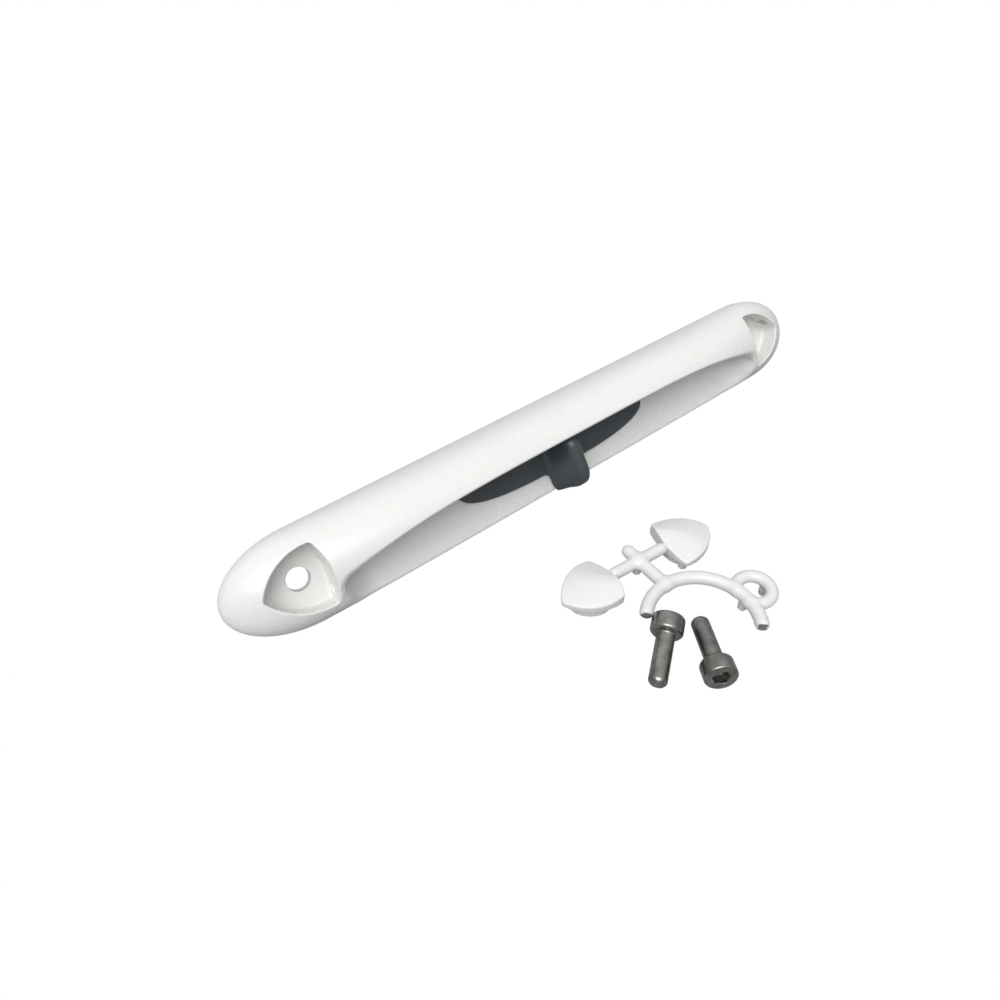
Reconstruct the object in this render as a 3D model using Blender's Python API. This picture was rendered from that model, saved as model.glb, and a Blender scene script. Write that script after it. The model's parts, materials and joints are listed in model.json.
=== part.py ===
"""Window pull handle with a sliding thumb latch, and its loose fixing kit.

A long bow-shaped handle that screws on the face of a sliding window.  A finger recess opens on one
side of the bow; in it a dark thumb slider moves a carriage behind the recess floor, and the carriage
drives the lock with a pin through the handle's back.  Beside it lie two screw covers, still on their
moulding sprue, and the two screws.

All sizes below are in millimetres.  The handle is modelled in its own frame: X along its length, Z out
of its mounting face, the recess open towards -Y.  An empty then leans it on its recess-side edge and on
the tip of its drive pin, as it lies on a table.
"""

import math

import bmesh
import bpy
from mathutils import Matrix, Vector

MM = 0.001
GAP = 0.3                      # running or fitting gap between neighbours

# handle form
LENGTH = 220.0
HALF_WIDTH = 13.8
CREST = 20.0                   # height of the bow above the mounting face
PLAN_END = 22.75               # length of the elliptical end in plan
RISE_END = 80.0                # length over which the crest falls to each end
SECTION_POWER = 2.3
LEAN_DEG = 55.0

# finger recess
FLOOR_Z = 4.6
RIM_Z = 5.0                    # height of the recess floor at its open edge
RIDGE_Y = 2.3                  # edge of the bow over the recess, at mid-length
RIDGE_DROP = 6.8               # how far that edge comes forward by the recess's ends
RIDGE_POWER = 4.3
RECESS_END = 82.0
RAMP_START = 72.7              # from here the recess's floor climbs to its end
RAMP_SPREAD = 0.67             # along the handle for each millimetre it climbs
UNDERCUT = 7.4
LIP_Z = 17.3

# screw pockets
HOLE_X = 89.1
HOLE_RADIUS = 3.3
POCKET_FLOOR_Z = 3.9
POCKET_BASE_X = 83.1
POCKET_HALF_WIDTH = 8.9
POCKET_LENGTH = 16.6
POCKET_BULGE = 2.3             # of its two long sides
POCKET_BASE_BULGE = 1.2
POCKET_CORNER = 1.2
NOTCH_RADIUS = 1.5

# slider mechanism
TRAVEL = 12.0                  # each way from the middle
REST_X = -2.5                  # where the slider stands
BACK_PLATE_T = 1.0
PLATE_HALF = (61.7, 9.7)
CAVITY_HALF = (52.3, 8.5)
CAVITY_TOP_Z = 3.6
CARRIAGE_HALF = (32.0, 4.5)
CARRIAGE_Z = (1.3, 3.3)
NECK_HALF = (9.0, 1.9)
SLIDER_HALF = (36.6, 7.7)
SLIDER_Z = (4.9, 6.4)
TAB_HALF_THICKNESS = 3.2       # at half its height
TAB_TAPER = 1.2                # how much thinner each half is at the top, and thicker at the foot
TAB_TOP_Z = 17.3
TAB_FRONT_Y = -14.2
TAB_BACK_Y = 5.0
TAB_FOOT_Z = 5.4
TAB_FLARE = 1.8                # how far the tab's foot spreads on each side
PIN_X = 28.0                   # drive pin, from the slider's middle
PIN_RADIUS = 2.5
PIN_CHAMFER = 0.4
PLATE_SCREW_AT = (57.0, 6.0)
CARRIAGE_SCREW_X = 6.2

# fixing kit
SCREW_LENGTH = 14.0            # M5 x 14 socket head cap screw
SCREW_RADIUS = 2.4
HEAD_RADIUS = 4.25
HEAD_HEIGHT = 5.0
SOCKET_ACROSS_FLATS = 4.0
SOCKET_DEPTH = 2.5
ROD_RADIUS = 1.85
ROD_HEIGHT = 4.8               # rod centre above the table
CROSS_AT = (-9.8, -49.8)       # middle of the sprue's cross
SPRUE_TURN_DEG = -5.5
STUB_LENGTH = 4.4
CAP_ROD_LENGTH = 9.1
ARC_RADIUS = 14.5
ARC_CENTRE = (1.1, -25.0)      # from the cross, in the sprue's own directions
ARC_FROM_DEG = 136.0
ARC_SWEEP_DEG = -178.0
LOOP_RADIUS = 4.6
LOOP_CENTRE = (18.1, 0.5)      # from the arc's centre
CAP_FIT = 0.8                  # gap all round a cover in its pocket
CAP_PLUG_INSET = 1.0
CAP_PLUG_HEIGHT = 2.9
CAP_TIP_HEIGHT = 4.0
CAP_CROWNING = 0.8             # how much of the handle's own fall its top follows
CAP_BORE_RADIUS = 4.5
CAP_BORE_DEPTH = 4.4
CAP_NUB_TOP = 1.8

LEAN = math.radians(LEAN_DEG)
TABLE_Z = -HALF_WIDTH * math.sin(LEAN)
PIN_REACH = PIN_CHAMFER + (HALF_WIDTH - PIN_RADIUS) * math.tan(LEAN)

COLOURS = {                    # base colour, roughness, metallic
    "white_plastic": ((0.86, 0.86, 0.85, 1), 0.25, 0.0),
    "slider_plastic": ((0.045, 0.055, 0.065, 1), 0.35, 0.0),
    "inner_plastic": ((0.70, 0.70, 0.68, 1), 0.45, 0.0),
    "zinc_steel": ((0.62, 0.62, 0.63, 1), 0.35, 1.0),
    "stainless_steel": ((0.55, 0.54, 0.52, 1), 0.32, 1.0),
    "bumper_rubber": ((0.03, 0.03, 0.03, 1), 0.8, 0.0),
}


# ---------------------------------------------------------------- scene, materials and mesh helpers
def clear_scene():
    for obj in list(bpy.data.objects):
        bpy.data.objects.remove(obj, do_unlink=True)


def material(name):
    found = bpy.data.materials.get(name)
    if found:
        return found
    colour, roughness, metallic = COLOURS[name]
    made = bpy.data.materials.new(name)
    made.use_nodes = True
    shader = made.node_tree.nodes["Principled BSDF"]
    shader.inputs["Base Color"].default_value = colour
    shader.inputs["Roughness"].default_value = roughness
    shader.inputs["Metallic"].default_value = metallic
    return made


def empty(name, parent=None, location=(0, 0, 0), rotation=(0, 0, 0)):
    obj = bpy.data.objects.new(name, None)
    bpy.context.collection.objects.link(obj)
    obj.parent = parent
    obj.location = Vector(location) * MM
    obj.rotation_euler = rotation
    return obj


def mesh_object(name, verts, faces, slot, parent, location=(0, 0, 0), rotation=(0, 0, 0)):
    """An object from points in millimetres; its faces are turned to point outwards."""
    mesh = bpy.data.meshes.new(name)
    mesh.from_pydata([Vector(v) * MM for v in verts], [], faces)
    bm = bmesh.new()
    bm.from_mesh(mesh)
    bmesh.ops.remove_doubles(bm, verts=bm.verts, dist=0.001 * MM)
    bmesh.ops.recalc_face_normals(bm, faces=bm.faces)
    bm.to_mesh(mesh)
    bm.free()
    mesh.shade_smooth()
    mesh.set_sharp_from_angle(angle=math.radians(35))
    obj = bpy.data.objects.new(name, mesh)
    bpy.context.collection.objects.link(obj)
    obj.parent = parent
    obj.location = Vector(location) * MM
    obj.rotation_euler = rotation
    mesh.materials.append(material(slot))
    return obj


def loft(rings):
    """Points and faces of a closed skin through rings of equal count, with a flat face on each end."""
    count = len(rings[0])
    verts = [p for ring in rings for p in ring]
    faces = [tuple(range(count)), tuple(range(len(verts) - count, len(verts)))]
    for i in range(len(rings) - 1):
        for j in range(count):
            k = (j + 1) % count
            faces.append((i * count + j, i * count + k, (i + 1) * count + k, (i + 1) * count + j))
    return verts, faces


def prism(outline, low, high):
    return loft([[(x, y, low) for x, y in outline], [(x, y, high) for x, y in outline]])


def turned(profile, sides):
    """A body of revolution about Z; profile is (radius, height) pairs, axis to axis."""
    rings = []
    for radius, height in profile:
        ring = []
        for i in range(sides):
            angle = 2 * math.pi * i / sides
            ring.append((radius * math.cos(angle), radius * math.sin(angle), height))
        rings.append(ring)
    return loft(rings)


def ring_body(inner, outer, low, high, sides, gap_deg=0.0):
    """A washer, or with a gap a C-shaped ring."""
    corners = [(inner, low), (outer, low), (outer, high), (inner, high)]
    turn = 2 * math.pi - math.radians(gap_deg)
    steps = sides + 1 if gap_deg else sides
    rings = []
    for i in range(steps):
        angle = math.radians(gap_deg) / 2 + turn * i / sides
        rings.append([(r * math.cos(angle), r * math.sin(angle), z) for r, z in corners])
    if gap_deg:
        return loft(rings)
    verts, faces = loft(rings + [rings[0]])
    return verts, faces[2:]


def rounded_rectangle(half_x, half_y, radius, steps=5):
    points = []
    for corner, (sx, sy) in enumerate(((1, 1), (-1, 1), (-1, -1), (1, -1))):
        for i in range(steps + 1):
            angle = math.pi / 2 * (corner + i / steps)
            points.append((sx * (half_x - radius) + radius * math.cos(angle),
                           sy * (half_y - radius) + radius * math.sin(angle)))
    return points


def rounded_triangle(half_width, length, side_bulge, base_bulge, radius, arc_steps=6, corner_steps=3):
    """A triangle with three bowed sides and round corners: base at x = 0, tip at +X."""
    inner = half_width - radius
    corners = [Vector((radius, -inner)), Vector((length - radius, 0.0)), Vector((radius, inner))]
    sides = []
    for i, start in enumerate(corners):
        end = corners[(i + 1) % 3]
        bulge = base_bulge if i == 2 else side_bulge
        chord = end - start
        bow_radius = (chord.length ** 2 / 4 + bulge ** 2) / (2 * bulge)
        outward = Vector((chord.y, -chord.x)).normalized()
        centre = (start + end) / 2 + outward * (bulge - bow_radius)
        half = math.asin(chord.length / 2 / bow_radius)
        middle = math.atan2(outward.y, outward.x)
        angles = [middle - half + 2 * half * k / arc_steps for k in range(arc_steps + 1)]
        sides.append((centre, bow_radius + radius, angles))
    points = []
    for i, (centre, side_radius, angles) in enumerate(sides):
        points += [centre + side_radius * Vector((math.cos(a), math.sin(a))) for a in angles]
        following = sides[(i + 1) % 3][2][0]
        turn = (following - angles[-1]) % (2 * math.pi)
        for k in range(1, corner_steps):
            angle = angles[-1] + turn * k / corner_steps
            points.append(corners[(i + 1) % 3] + radius * Vector((math.cos(angle), math.sin(angle))))
    return [(p.x, p.y) for p in points]


def superellipse(half_x, half_y, power, count):
    points = []
    for i in range(count):
        angle = 2 * math.pi * (i + 0.5) / count
        c, s = math.cos(angle), math.sin(angle)
        points.append((half_x * math.copysign(abs(c) ** (2 / power), c),
                       half_y * math.copysign(abs(s) ** (2 / power), s)))
    return points


def circle(radius, sides, at=(0.0, 0.0), turn=0.0):
    angles = [2 * math.pi * i / sides + turn for i in range(sides)]
    return [(at[0] + radius * math.cos(a), at[1] + radius * math.sin(a)) for a in angles]


def tube(points, radius, sides=10, closed=False):
    """A round rod along points that lie in a level plane."""
    count = len(points)
    rings = []
    for i, point in enumerate(points):
        before = points[i - 1] if closed or i else point
        after = points[(i + 1) % count] if closed or i < count - 1 else point
        along = (after - before).normalized()
        across = Vector((-along.y, along.x, 0.0))
        ring = []
        for k in range(sides):
            angle = 2 * math.pi * (k + 0.5) / sides
            ring.append(point + radius * (math.cos(angle) * across + math.sin(angle) * Vector((0, 0, 1))))
        rings.append(ring)
    if not closed:
        return loft(rings)
    verts, faces = loft(rings + [rings[0]])
    return verts, faces[2:]


def joined(*parts):
    """Several bodies in one mesh, for a cutter."""
    verts, faces = [], []
    for part_verts, part_faces in parts:
        faces += [tuple(i + len(verts) for i in face) for face in part_faces]
        verts += list(part_verts)
    return verts, faces


def moved(part, x=0.0, y=0.0, z=0.0):
    return [(v[0] + x, v[1] + y, v[2] + z) for v in part[0]], part[1]


def boolean(target, shape, operation, name):
    """Cut a shape away from the target, or add one to it; the shape itself stays a hidden guide."""
    guide = mesh_object(name, *shape, target.data.materials[0].name, target.parent,
                        Vector(target.location) / MM, target.rotation_euler)
    guide.hide_render = True
    guide.display_type = "WIRE"
    modifier = target.modifiers.new(name, "BOOLEAN")
    modifier.operation = operation
    modifier.solver = "EXACT"
    modifier.object = guide


# ---------------------------------------------------------------- form of the handle
def end_fraction(x, end_length):
    """1 along the middle, falling as a quarter ellipse to 0 at the handle's end."""
    past = max(0.0, abs(x) - (LENGTH / 2 - end_length)) / end_length
    return math.sqrt(max(0.0, 1 - past ** 2))


def surface_z(x, y):
    """Height of the handle's outer surface over its mounting face."""
    half = HALF_WIDTH * end_fraction(x, PLAN_END)
    across = min(1.0, abs(y) / half) if half else 1.0
    return CREST * end_fraction(x, RISE_END) * (1 - across ** 2) ** (1 / SECTION_POWER)


def handle_shell():
    stations, around = 34, 20
    rings = []
    for i in range(stations + 1):
        x = LENGTH / 2 * math.sin(math.pi / 2 * (2 * i / stations - 1))
        half = max(0.02, HALF_WIDTH * end_fraction(x, PLAN_END))
        crest = max(0.02, CREST * end_fraction(x, RISE_END))
        ring = []
        for j in range(around + 1):
            angle = math.pi * j / around
            ring.append((x, -half * math.cos(angle), crest * math.sin(angle) ** (2 / SECTION_POWER)))
        rings.append(ring)
    return loft(rings)


def ridge_y(x):
    return RIDGE_Y - RIDGE_DROP * (abs(x) / RECESS_END) ** RIDGE_POWER


def recess_cutter():
    """The finger recess: it leans back under the ridge, and its floor climbs out at both ends."""
    stations = 30
    beyond, above = -24.0, 30.0
    rings = []
    for i in range(stations + 1):
        x = (RECESS_END - 0.1) * math.sin(math.pi / 2 * (2 * i / stations - 1))
        ridge = ridge_y(x)
        under = UNDERCUT * math.sqrt(1 - (abs(x) / (RECESS_END + 2.0)) ** 4)
        lip = LIP_Z * surface_z(x, 0) / CREST
        floor = min(max(FLOOR_Z, (abs(x) - RAMP_START) / RAMP_SPREAD), lip - 0.3)
        rim = max(RIM_Z, floor)
        section = [(beyond, rim), (-HALF_WIDTH, rim), (-9.0, floor)]
        section += [(ridge + under * share, floor + (lip - floor) * height)
                    for share, height in ((0.80, 0.0), (1.0, 0.17), (0.96, 0.39), (0.72, 0.68), (0.36, 0.88),
                                          (0.02, 1.0))]
        section += [(ridge, above), (beyond, above)]
        rings.append([(x, y, z) for y, z in section])
    return loft(rings)


def pocket_cutter(side):
    outline = rounded_triangle(POCKET_HALF_WIDTH, POCKET_LENGTH, POCKET_BULGE, POCKET_BASE_BULGE,
                               POCKET_CORNER)
    outline = [(side * (POCKET_BASE_X + x), y) for x, y in outline]
    return prism(outline, POCKET_FLOOR_Z, 30.0)


def notch_at(side):
    """The two snap notches of a pocket: one by its tip, one by a base corner."""
    return [(side * (POCKET_BASE_X + 15.0), 3.4), (side * (POCKET_BASE_X + 0.2), -6.0)]


# ---------------------------------------------------------------- handle body
def make_housing(frame):
    housing = mesh_object("housing", *handle_shell(), "white_plastic", frame)
    boolean(housing, recess_cutter(), "DIFFERENCE", "recess_cutter")
    pockets = [pocket_cutter(-1), pocket_cutter(1)]
    boolean(housing, joined(*pockets), "DIFFERENCE", "pocket_cutter")
    notches = []
    holes = []
    for side in (-1, 1):
        for x, y in notch_at(side):
            notches.append(prism(circle(NOTCH_RADIUS, 10, (x, y), 0.1), POCKET_FLOOR_Z + 1.0, 6.4))
        holes.append(prism(circle(HOLE_RADIUS, 24, (side * HOLE_X, 0.0)), -2.0, POCKET_FLOOR_Z + 1.0))
    boolean(housing, joined(*notches), "DIFFERENCE", "notch_cutter")
    boolean(housing, joined(*holes), "DIFFERENCE", "hole_cutter")
    rebate = rounded_rectangle(PLATE_HALF[0] + GAP, PLATE_HALF[1] + GAP, 3.0 + GAP)
    boolean(housing, prism(rebate, -2.0, BACK_PLATE_T + 0.1), "DIFFERENCE", "rebate_cutter")
    cavity = prism(rounded_rectangle(*CAVITY_HALF, 1.5, 3), -1.5, CAVITY_TOP_Z)
    screw_holes = []
    for sx in (-1, 1):
        for sy in (-1, 1):
            at = (sx * PLATE_SCREW_AT[0], sy * PLATE_SCREW_AT[1])
            screw_holes.append(prism(circle(1.3, 12, at), -1.5, CAVITY_TOP_Z))
    boolean(housing, joined(cavity, *screw_holes), "DIFFERENCE", "cavity_cutter")
    slot = rounded_rectangle(NECK_HALF[0] + TRAVEL + 0.4, NECK_HALF[1] + GAP, 1.0, 3)
    boolean(housing, prism(slot, CAVITY_TOP_Z - 1.0, FLOOR_Z + 1.0), "DIFFERENCE", "slot_cutter")


def make_back_plate(frame):
    plate = mesh_object("back_plate", *prism(rounded_rectangle(*PLATE_HALF, 3.0), 0.0, BACK_PLATE_T),
                        "inner_plastic", frame)
    pin_slot = rounded_rectangle(TRAVEL + 4.3, 4.3, 4.2, 6)
    cutters = [moved(prism(pin_slot, -2.0, 3.0), x=PIN_X)]
    for sx in (-1, 1):
        for sy in (-1, 1):
            cone = turned([(3.3, -1.0), (1.3, 1.0), (1.3, 2.0)], 16)
            cutters.append(moved(cone, sx * PLATE_SCREW_AT[0], sy * PLATE_SCREW_AT[1]))
    boolean(plate, joined(*cutters), "DIFFERENCE", "plate_cutter")
    number = 0
    for sx in (-1, 1):
        for sy in (-1, 1):
            number += 1
            profile = [(1.75, 0.15), (1.0, 0.9), (1.0, 3.0), (0.7, 3.3)]
            mesh_object(f"plate_screw_{number}", *turned(profile, 16), "zinc_steel", frame,
                        (sx * PLATE_SCREW_AT[0], sy * PLATE_SCREW_AT[1], 0.0))


def make_guides(frame):
    inner = CARRIAGE_HALF[1] + GAP
    outer = CAVITY_HALF[1] - GAP
    for name, side in (("guide_rail_upper", 1), ("guide_rail_lower", -1)):
        rail = rounded_rectangle(CAVITY_HALF[0] - GAP, (outer - inner) / 2, 0.6, 2)
        mesh_object(name, *prism(rail, *CARRIAGE_Z), "inner_plastic", frame,
                    (0, side * (inner + outer) / 2, 0))
    stop = CARRIAGE_HALF[0] + TRAVEL + GAP
    half = (CAVITY_HALF[0] - GAP - stop) / 2
    for name, side in (("end_bumper_left", -1), ("end_bumper_right", 1)):
        block = rounded_rectangle(half, CARRIAGE_HALF[1] - 0.2, 0.8, 2)
        mesh_object(name, *prism(block, *CARRIAGE_Z), "bumper_rubber", frame, (side * (stop + half), 0, 0))


# ---------------------------------------------------------------- slider
def tab_profile():
    """The thumb tab's side view as (y, z): a straight foot, a round front and a sloping back."""
    foot = TAB_FOOT_Z
    front_rise = 11.5
    points = [(TAB_BACK_Y, foot), (TAB_FRONT_Y + 0.4, foot), (TAB_FRONT_Y, foot + 0.6)]
    steps = 7
    reach = 6.0
    for i in range(steps + 1):
        angle = math.pi / 2 * i / steps
        points.append((TAB_FRONT_Y + reach * (1 - math.cos(angle)),
                       front_rise + (TAB_TOP_Z - front_rise) * math.sin(angle)))
    points += [(-2.0, TAB_TOP_Z), (0.6, TAB_TOP_Z - 0.7), (2.6, TAB_TOP_Z - 2.6), (4.0, 11.0)]
    return points


def tab_half_thickness(z):
    middle = (TAB_FOOT_Z + TAB_TOP_Z) / 2
    return TAB_HALF_THICKNESS - TAB_TAPER * (z - middle) / (TAB_TOP_Z - middle)


def tab_foot():
    """The flared foot that blends the tab into the slider and reaches over the recess floor."""
    half_y = (TAB_BACK_Y - 0.6 - TAB_FRONT_Y) / 2
    centre_y = TAB_FRONT_Y + half_y
    rings = []
    for share, z in ((1.0, TAB_FOOT_Z), (0.94, TAB_FOOT_Z + 0.5), (0.45, TAB_FOOT_Z + 1.4),
                     (0.16, TAB_FOOT_Z + 2.4), (-0.1, TAB_FOOT_Z + 3.6)):
        half_x = tab_half_thickness(z) + TAB_FLARE * share
        ring = rounded_rectangle(half_x, half_y - 0.1, 0.8, 2)
        rings.append([(x, centre_y + y, z) for x, y in ring])
    return loft(rings)


def tab_body():
    rings = []
    profile = tab_profile()
    centre_y = sum(p[0] for p in profile) / len(profile)
    foot = profile[0][1]
    for side, keep in ((-1.0, 0.88), (-0.62, 1.0), (0.62, 1.0), (1.0, 0.88)):
        rings.append([(side * tab_half_thickness(z), centre_y + (y - centre_y) * keep,
                       foot + (z - foot) * keep) for y, z in profile])
    return loft(rings)


def make_slider(slide):
    dome = 0.5
    plate_rings = []
    for inset, z in ((0.0, SLIDER_Z[0]), (0.0, SLIDER_Z[1] - dome), (0.7, SLIDER_Z[1])):
        outline = superellipse(SLIDER_HALF[0] - inset, SLIDER_HALF[1] - inset, 2.6, 40)
        plate_rings.append([(x, y, z) for x, y in outline])
    slider = mesh_object("thumb_slider", *loft(plate_rings), "slider_plastic", slide)
    neck = prism(rounded_rectangle(*NECK_HALF, 0.8, 2), CARRIAGE_Z[1] + GAP, SLIDER_Z[0] + 0.6)
    boolean(slider, neck, "UNION", "slider_neck")
    boolean(slider, tab_foot(), "UNION", "slider_foot")
    boolean(slider, tab_body(), "UNION", "slider_tab")
    sinks = [prism(circle(1.3, 12, (sx * CARRIAGE_SCREW_X, 0.0)), 2.0, 5.6) for sx in (-1, 1)]
    boolean(slider, joined(*sinks), "DIFFERENCE", "slider_screw_holes")


def make_carriage(slide):
    low, high = CARRIAGE_Z
    carriage = mesh_object("slide_carriage", *prism(rounded_rectangle(*CARRIAGE_HALF, 1.2, 3), low, high),
                           "inner_plastic", slide)
    cutters = []
    for sx in (-1, 1):
        cutters.append(moved(turned([(2.5, low - 1.0), (2.5, low + 1.0), (1.3, low + 1.0),
                                     (1.3, high + 1.0)], 16), x=sx * CARRIAGE_SCREW_X))
    cutters.append(moved(turned([(PIN_RADIUS + GAP, low - 1.0), (PIN_RADIUS + GAP, 2.4), (4.0, 2.4),
                                 (4.0, high + 1.0)], 24), x=PIN_X))
    cutters.append(moved(prism(rounded_rectangle(12.0, 1.5, 0.4, 2), low - 1.0, high + 1.0),
                         x=-18.0, y=CARRIAGE_HALF[1]))
    boolean(carriage, joined(*cutters), "DIFFERENCE", "carriage_cutter")
    for number, sx in ((1, -1), (2, 1)):
        profile = [(2.2, low + 0.1), (2.2, low + 0.7), (1.0, low + 0.7), (1.0, 5.1), (0.8, 5.3)]
        mesh_object(f"carriage_screw_{number}", *turned(profile, 16), "zinc_steel", slide,
                    (sx * CARRIAGE_SCREW_X, 0, 0))


def make_drag_spring(slide):
    """A bowed leaf in the carriage's side, which rubs on the upper rail."""
    half_length, thickness, bow, steps = 11.4, 0.3, 0.75, 12
    rings = []
    for i in range(steps + 1):
        x = half_length * (2 * i / steps - 1)
        y = CARRIAGE_HALF[1] - 1.15 + bow * math.cos(math.pi / 2 * x / half_length)
        rings.append([(x, y, 1.5), (x, y + thickness, 1.5), (x, y + thickness, 3.1), (x, y, 3.1)])
    mesh_object("drag_spring", *loft(rings), "zinc_steel", slide, (-18.0, 0, 0))


def make_drive_pin(slide):
    tip = PIN_RADIUS - PIN_CHAMFER
    profile = [(tip, -PIN_REACH), (PIN_RADIUS, -PIN_REACH + PIN_CHAMFER), (PIN_RADIUS, -0.8),
               (2.0, -0.8), (2.0, -0.1), (PIN_RADIUS, -0.1), (PIN_RADIUS, 2.7), (3.6, 2.7), (3.6, 3.2)]
    mesh_object("drive_pin", *turned(profile, 24), "zinc_steel", slide, (PIN_X, 0, 0))
    mesh_object("pin_washer", *ring_body(PIN_RADIUS + GAP, 3.9, 0.35, 0.95, 24), "zinc_steel", slide,
                (PIN_X, 0, 0))
    mesh_object("pin_circlip", *ring_body(2.25, 3.4, -0.7, -0.2, 20, 60), "zinc_steel", slide, (PIN_X, 0, 0))


# ---------------------------------------------------------------- fixing kit on the table
def cap_surface(x, y):
    """Height of a cover's crowned top over its plug's foot; it falls to the tip as the handle does."""
    tip_z = surface_z(POCKET_BASE_X + POCKET_LENGTH, 0)
    return CAP_TIP_HEIGHT + (surface_z(POCKET_BASE_X + x, y) - tip_z) * CAP_CROWNING


def make_cap(name, tree, at, turn_deg, hand):
    """A cover lies on its plug: base towards the sprue, tip away from it.  hand mirrors its nubs."""
    rim = rounded_triangle(POCKET_HALF_WIDTH - CAP_FIT, POCKET_LENGTH - 2 * CAP_FIT, POCKET_BULGE,
                           POCKET_BASE_BULGE, POCKET_CORNER)
    plug = rounded_triangle(POCKET_HALF_WIDTH - CAP_FIT - CAP_PLUG_INSET,
                            POCKET_LENGTH - 2 * CAP_FIT - 2 * CAP_PLUG_INSET, POCKET_BULGE,
                            POCKET_BASE_BULGE, POCKET_CORNER)
    plug = [(x + CAP_PLUG_INSET, y) for x, y in plug]
    centre = Vector((POCKET_LENGTH * 0.42, 0.0))
    rings = [[(x, y, 0.0) for x, y in plug], [(x, y, CAP_PLUG_HEIGHT) for x, y in plug],
             [(x, y, CAP_PLUG_HEIGHT + 0.05) for x, y in rim]]
    for share in (1.0, 0.78, 0.52, 0.26, 0.06):
        ring = []
        for x, y in rim:
            p = centre + (Vector((x, y)) - centre) * share
            ring.append((p.x, p.y, cap_surface(p.x, p.y)))
        rings.append(ring)
    cap = mesh_object(name, *loft(rings), "white_plastic", tree, (*at, 0), (0, 0, math.radians(turn_deg)))
    nubs = []
    for x, y in ((12.2, 2.2 * hand), (1.3, -5.6 * hand)):
        nubs.append(prism(circle(NOTCH_RADIUS - 0.3, 8, (x, y), 0.2), 0.3, CAP_NUB_TOP))
    boolean(cap, nubs[0], "UNION", f"{name}_nub_tip")
    boolean(cap, nubs[1], "UNION", f"{name}_nub_base")
    bore = prism(circle(CAP_BORE_RADIUS, 20, (HOLE_X - POCKET_BASE_X, 0.0)), -1.0, CAP_BORE_DEPTH)
    boolean(cap, bore, "DIFFERENCE", f"{name}_bore")


def make_sprue(tree):
    """The moulding sprue: a cross of rods, a long arc with a loop on it, and three stand-off pegs."""
    level = ROD_HEIGHT
    stem_end = Vector((0.9, ARC_CENTRE[1] + ARC_RADIUS - 0.1, level))
    sprue = mesh_object("cap_sprue", *tube([Vector((0, STUB_LENGTH, level)), stem_end], ROD_RADIUS),
                        "white_plastic", tree)
    rods = tube([Vector((-CAP_ROD_LENGTH, 0, level)), Vector((CAP_ROD_LENGTH, 0, level))],
                ROD_RADIUS - 0.1)
    arc = []
    steps = 22
    for i in range(steps + 1):
        angle = math.radians(ARC_FROM_DEG + ARC_SWEEP_DEG * i / steps)
        arc.append(Vector((ARC_CENTRE[0] + ARC_RADIUS * math.cos(angle),
                           ARC_CENTRE[1] + ARC_RADIUS * math.sin(angle), level)))
    loop_at = (ARC_CENTRE[0] + LOOP_CENTRE[0], ARC_CENTRE[1] + LOOP_CENTRE[1])
    loop = [Vector((x, y, level)) for x, y in circle(LOOP_RADIUS, 18, loop_at)]
    pegs = []
    for number, (x, y) in enumerate(((0.0, 0.0), (ARC_CENTRE[0] + ARC_RADIUS, ARC_CENTRE[1]),
                                     (loop_at[0] + LOOP_RADIUS, loop_at[1]))):
        pegs.append((f"sprue_peg_{number}", prism(circle(1.35, 10, (x, y), 0.15), 0.0, level)))
    boolean(sprue, rods, "UNION", "sprue_rods")
    boolean(sprue, tube(arc, ROD_RADIUS - 0.05), "UNION", "sprue_arc")
    boolean(sprue, tube(loop, ROD_RADIUS - 0.15, closed=True), "UNION", "sprue_loop")
    for name, peg in pegs:
        boolean(sprue, peg, "UNION", name)


def make_kit_tree():
    turn = math.radians(SPRUE_TURN_DEG)
    tree = empty("kit_tree", None, (*CROSS_AT, TABLE_Z), (0, 0, turn))
    make_sprue(tree)
    gate = CAP_ROD_LENGTH + GAP + POCKET_BASE_BULGE
    make_cap("cover_cap_left", tree, (-gate, 0), 180, -1)
    make_cap("cover_cap_right", tree, (gate, 0), 0, 1)


def make_mounting_screw(name, tip_at, head_towards):
    """A socket head screw that lies on the table on its head's rim and its tip."""
    chamfer = 0.7
    tip_radius = SCREW_RADIUS - chamfer
    profile = [(tip_radius, 0.0), (SCREW_RADIUS, chamfer), (SCREW_RADIUS, SCREW_LENGTH),
               (HEAD_RADIUS, SCREW_LENGTH), (HEAD_RADIUS, SCREW_LENGTH + HEAD_HEIGHT - 0.4),
               (HEAD_RADIUS - 0.4, SCREW_LENGTH + HEAD_HEIGHT)]
    tilt = math.atan((HEAD_RADIUS - SCREW_RADIUS) / (SCREW_LENGTH - chamfer))
    along = Vector(head_towards) - Vector(tip_at)
    heading = math.atan2(along.y, along.x)
    turn = Matrix.Rotation(heading, 3, "Z") @ Matrix.Rotation(math.pi / 2 - tilt, 3, "Y")
    lowest = SCREW_RADIUS * math.cos(tilt) - chamfer * math.sin(tilt)
    screw = mesh_object(name, *turned(profile, 24), "stainless_steel", None,
                        (*tip_at, TABLE_Z + lowest), turn.to_euler())
    socket = prism(circle(SOCKET_ACROSS_FLATS / 2 / math.cos(math.pi / 6), 6, turn=0.3),
                   SCREW_LENGTH + HEAD_HEIGHT - SOCKET_DEPTH, SCREW_LENGTH + HEAD_HEIGHT + 1.0)
    boolean(screw, socket, "DIFFERENCE", f"{name}_socket")


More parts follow.
